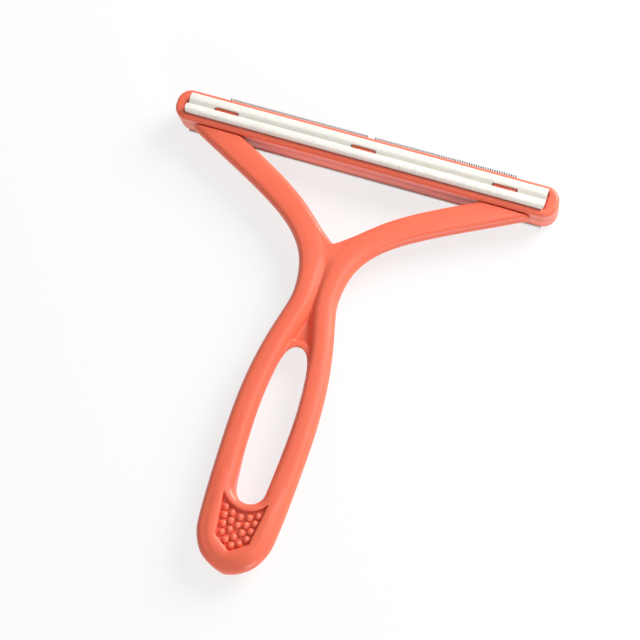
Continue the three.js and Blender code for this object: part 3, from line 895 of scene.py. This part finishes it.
# a flat tooth with its point at (0, depth), a little blunt and thinner than its sheet, with a foot that laps into it
def toothShape(row, sheet):
    depth, foot = row["toothDepth"], tooth["foot"]
    blunt = depth * tooth["blunt"]
    root, tip = row["toothPitch"] * row["toothRoot"], row["toothPitch"] * row["toothTip"]
    outline = [(-root, -foot), (root, -foot), (root, 0), (tip, blunt), (0, depth), (-tip, blunt), (-root, 0)]
    lower = np.array([(x, y, 0) for x, y in outline])
    upper = lower + [0, 0, sheet - 2 * tooth["inset"]]
    return loft([lower, upper])


def slab(x0, x1, y0, y1, z0, z1, ease=0.06, corner=0.15):
    x, y = (x0 + x1) / 2, (y0 + y1) / 2
    rings = []
    for z, cut in ((z0, ease), (z0 + ease, 0), (z1 - ease, 0), (z1, ease)):
        rings.append(roundedRing(x1 - x0 - 2 * cut, y1 - y0 - 2 * cut, corner, z, x, y, steps=3))
    return loft(rings)


def makeBlade(side, name, node):
    near, far = blade["middleGap"] / 2, blade["middleGap"] / 2 + blade["length"]
    x0, x1 = (near, far) if side > 0 else (-far, -near)
    rootY = blade["tip"] - blade["toothDepth"]
    low, high = blade["low"], blade["low"] + blade["thickness"]
    plate = addMesh("bladeSheet", *slab(x0, x1, blade["inner"], rootY, low, high), bladeSteel, sharpAngle=30)
    point = addMesh("bladeTooth", *toothShape(blade, blade["thickness"]), bladeSteel, fromHead=False, sharpAngle=30)
    count = round(blade["length"] / blade["toothPitch"])
    teeth = runTree("bladeTeeth", rowTree, {
        **even, "Shape": point, "Finish": bladeSteel, "Smallest": blade["smallest"],
        "Seed": blade["seed"] + side, "Count": count,
        "Start": rowPlace(x0 + blade["toothPitch"] / 2, rootY, low + tooth["inset"]),
        "Step": [blade["toothPitch"] * mm, 0, 0]})
    dropObject(point)
    finishPiece(joinPieces(name, [plate, teeth]), node)


# the channel's edge, bent down over a small radius, from its top round to its underside
def combEdge(outer):
    sheet, seat, wide = comb["sheet"], comb["seat"], comb["bend"]
    steps = np.linspace(0, math.pi / 2, comb["bendSteps"])
    turn = np.stack([np.sin(steps), np.cos(steps)], 1)
    middle = (outer - wide, seat - wide)
    return np.vstack([middle + wide * turn, [(outer, comb["toothDepth"]), (outer - sheet, comb["toothDepth"])],
                      (middle + (wide - sheet) * turn)[::-1]])


def makeComb():
    half, sheet = comb["length"] / 2, comb["sheet"]
    section = np.vstack([combEdge(comb["far"]), (combEdge(-comb["near"]) * [-1, 1])[::-1]])
    rings = [np.stack([np.full(len(section), x), section[:, 0], section[:, 1]], 1)
             for x in np.linspace(-half, half, comb["rings"])]
    channel = outward(addMesh("combChannel", *loft(rings), combSteel, sharpAngle=30))
    points, faces = toothShape(comb, sheet)
    hung = np.stack([points[:, 0], points[:, 2], -points[:, 1]], 1)
    point = outward(addMesh("combTooth", hung, faces, combSteel, fromHead=False, sharpAngle=30))
    parts = [channel]
    count = int(comb["length"] / comb["toothPitch"])
    start = -comb["toothPitch"] * (count - 1) / 2
    for y in (comb["near"] + tooth["inset"], comb["far"] - sheet + tooth["inset"]):
        parts.append(runTree("combTeeth", rowTree, {
            **even, "Shape": point, "Finish": combSteel, "Smallest": comb["smallest"],
            "Seed": comb["seed"], "Count": count, "Start": rowPlace(start, y, comb["toothDepth"]),
            "Step": [comb["toothPitch"] * mm, 0, 0]}))
    dropObject(point)
    finishPiece(joinPieces("backComb", parts), "back_comb")


makeBlade(-1, "leftEdgeBlade", "left_edge_blade")
makeBlade(1, "rightEdgeBlade", "right_edge_blade")
makeComb()


# Floor, light and camera
stage = {
    "floorSize": 3.0, "floorColour": (0.93, 0.93, 0.93, 1), "floorLift": 0.76, "worldStrength": 0.33,
    "keyPlace": (0.42, 0.60, 0.46), "keySize": 0.55, "keyPower": 9.8,
    "fillPlace": (0.5, -0.9, 0.35), "fillSize": 0.7, "fillPower": 4.5,
    "cardPlace": (0.24, 0.21, 1.15), "cardSize": 0.45, "cardPower": 1.8,
    "cameraPlace": (0.117982, -0.106543, 0.584974), "cameraTurn": (0.251332, 0.121705, 0.321874),
    "cameraLens": 93.637, "cameraSensor": 36, "cameraNear": 0.01, "cameraFar": 20,
}


# white for the camera and for reflections; the floor keeps part of its shadow
def seenDirectly(tree):
    path = addNode(tree, "ShaderNodeLightPath")
    first = addNode(tree, "ShaderNodeMath", {
        0: path.outputs["Is Camera Ray"], 1: path.outputs["Is Glossy Ray"]}, operation="ADD")
    both = addNode(tree, "ShaderNodeMath", {
        0: first.outputs[0], 1: path.outputs["Is Transmission Ray"]}, operation="ADD", use_clamp=True)
    return both.outputs[0]


def makeFloor():
    size = stage["floorSize"] / 2
    data = bpy.data.meshes.new("paleFloor")
    data.from_pydata([(-size, -size, 0), (size, -size, 0), (size, size, 0), (-size, size, 0)], [], [(0, 1, 2, 3)])
    material = bpy.data.materials.new("paleFloor")
    material.use_nodes = True
    tree = material.node_tree
    tree.nodes.clear()
    matt = addNode(tree, "ShaderNodeBsdfDiffuse", {"Color": stage["floorColour"]})
    glow = addNode(tree, "ShaderNodeEmission", {"Color": (1, 1, 1, 1), "Strength": 1.0})
    share = addNode(tree, "ShaderNodeMath", {0: seenDirectly(tree), 1: stage["floorLift"]}, operation="MULTIPLY")
    mix = addNode(tree, "ShaderNodeMixShader", {0: share.outputs[0], 1: matt.outputs[0], 2: glow.outputs[0]})
    out = addNode(tree, "ShaderNodeOutputMaterial")
    tree.links.new(mix.outputs[0], out.inputs["Surface"])
    data.materials.append(material)
    floor = bpy.data.objects.new("paleFloor", data)
    scene.collection.objects.link(floor)


def makeWorld():
    world = bpy.data.worlds.new("paleStudio")
    world.use_nodes = True
    tree = world.node_tree
    tree.nodes.clear()
    soft = addNode(tree, "ShaderNodeBackground", {"Color": (1, 1, 1, 1), "Strength": stage["worldStrength"]})
    white = addNode(tree, "ShaderNodeBackground", {"Color": (1, 1, 1, 1), "Strength": 1.0})
    camera = addNode(tree, "ShaderNodeLightPath").outputs["Is Camera Ray"]
    mix = addNode(tree, "ShaderNodeMixShader", {0: camera, 1: soft.outputs[0], 2: white.outputs[0]})
    out = addNode(tree, "ShaderNodeOutputWorld")
    tree.links.new(mix.outputs[0], out.inputs["Surface"])
    scene.world = world


def addLamp(name, place, size, power):
    lamp = bpy.data.lights.new(name, "AREA")
    lamp.shape = "DISK"
    lamp.size = size
    lamp.energy = power
    thing = bpy.data.objects.new(name, lamp)
    thing.location = place
    thing.rotation_euler = (-Vector(place)).to_track_quat("-Z", "Y").to_euler()
    scene.collection.objects.link(thing)
    return thing


def makeCamera():
    lens = bpy.data.cameras.new("photoCamera")
    lens.sensor_width = stage["cameraSensor"]
    lens.lens = stage["cameraLens"]
    lens.clip_start = stage["cameraNear"]
    lens.clip_end = stage["cameraFar"]
    camera = bpy.data.objects.new("photoCamera", lens)
    camera.location = stage["cameraPlace"]
    camera.rotation_euler = stage["cameraTurn"]
    scene.collection.objects.link(camera)
    scene.camera = camera


makeFloor()
makeWorld()
addLamp("keyLamp", stage["keyPlace"], stage["keySize"], stage["keyPower"])
addLamp("fillLamp", stage["fillPlace"], stage["fillSize"], stage["fillPower"])
# a card overhead that only shows as a sheen
addLamp("sheenCard", stage["cardPlace"], stage["cardSize"], stage["cardPower"]).visible_diffuse = False
makeCamera()
scene.view_settings.view_transform = "Standard"
print("stage set")
